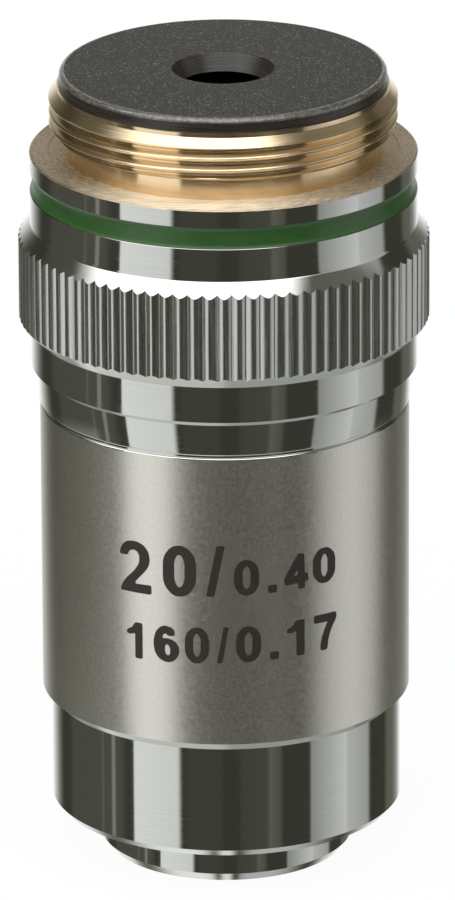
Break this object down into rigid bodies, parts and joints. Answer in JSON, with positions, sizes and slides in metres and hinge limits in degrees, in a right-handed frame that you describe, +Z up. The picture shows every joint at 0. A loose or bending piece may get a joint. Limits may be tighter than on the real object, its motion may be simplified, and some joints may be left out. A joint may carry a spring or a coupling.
{
  "type": "microscope objective",
  "caption": "Microscope objective with a brass mount thread, knurled chrome body, green colour ring, satin sleeve and a spring-loaded nose that retracts.",
  "frame": {"origin": "centre of the flat nose tip, on which the objective stands", "axes": "+Z up the optical axis, from the nose to the mount thread; +X through the guide pin"},
  "size_m": [0.024, 0.024, 0.0479],
  "materials": {
    "chrome_plate": "polished chrome plate on turned brass",
    "satin_chrome": "satin, blasted before plating",
    "bare_brass": "bare, as turned",
    "blackened_brass": "chemically blackened",
    "black_coat": "matte black with a fine sand grain",
    "green_enamel": "glossy enamel fill",
    "spring_steel": "bright drawn",
    "crown_glass": "polished",
    "flint_glass": "polished"
  },
  "bodies": {
    "body": {"mount_body": "chrome_plate", "colour_ring": "green_enamel", "rear_cap": "black_coat", "outer_sleeve": "satin_chrome", "front_collar": "chrome_plate", "focus_shim": "bare_brass", "guide_pin": "spring_steel", "spring": "spring_steel"},
    "nose": {"lens_barrel": "blackened_brass", "nose_cell": "chrome_plate", "front_lens": "crown_glass", "front_spacer": "blackened_brass", "front_pair_cell": "blackened_brass", "front_flint": "flint_glass", "front_crown": "crown_glass", "rear_spacer": "blackened_brass", "rear_pair_cell": "blackened_brass", "rear_flint": "flint_glass", "rear_crown": "crown_glass", "lock_ring": "blackened_brass"}
  },
  "joints": [
    {"name": "nose_retract", "type": "slide", "parent": "body", "child": "nose", "axis": [0, 0, 1], "range_m": [0, 0.002], "stiffness_N_per_m": 500, "springref_m": -0.004, "deforming": ["spring"]}
  ]
}
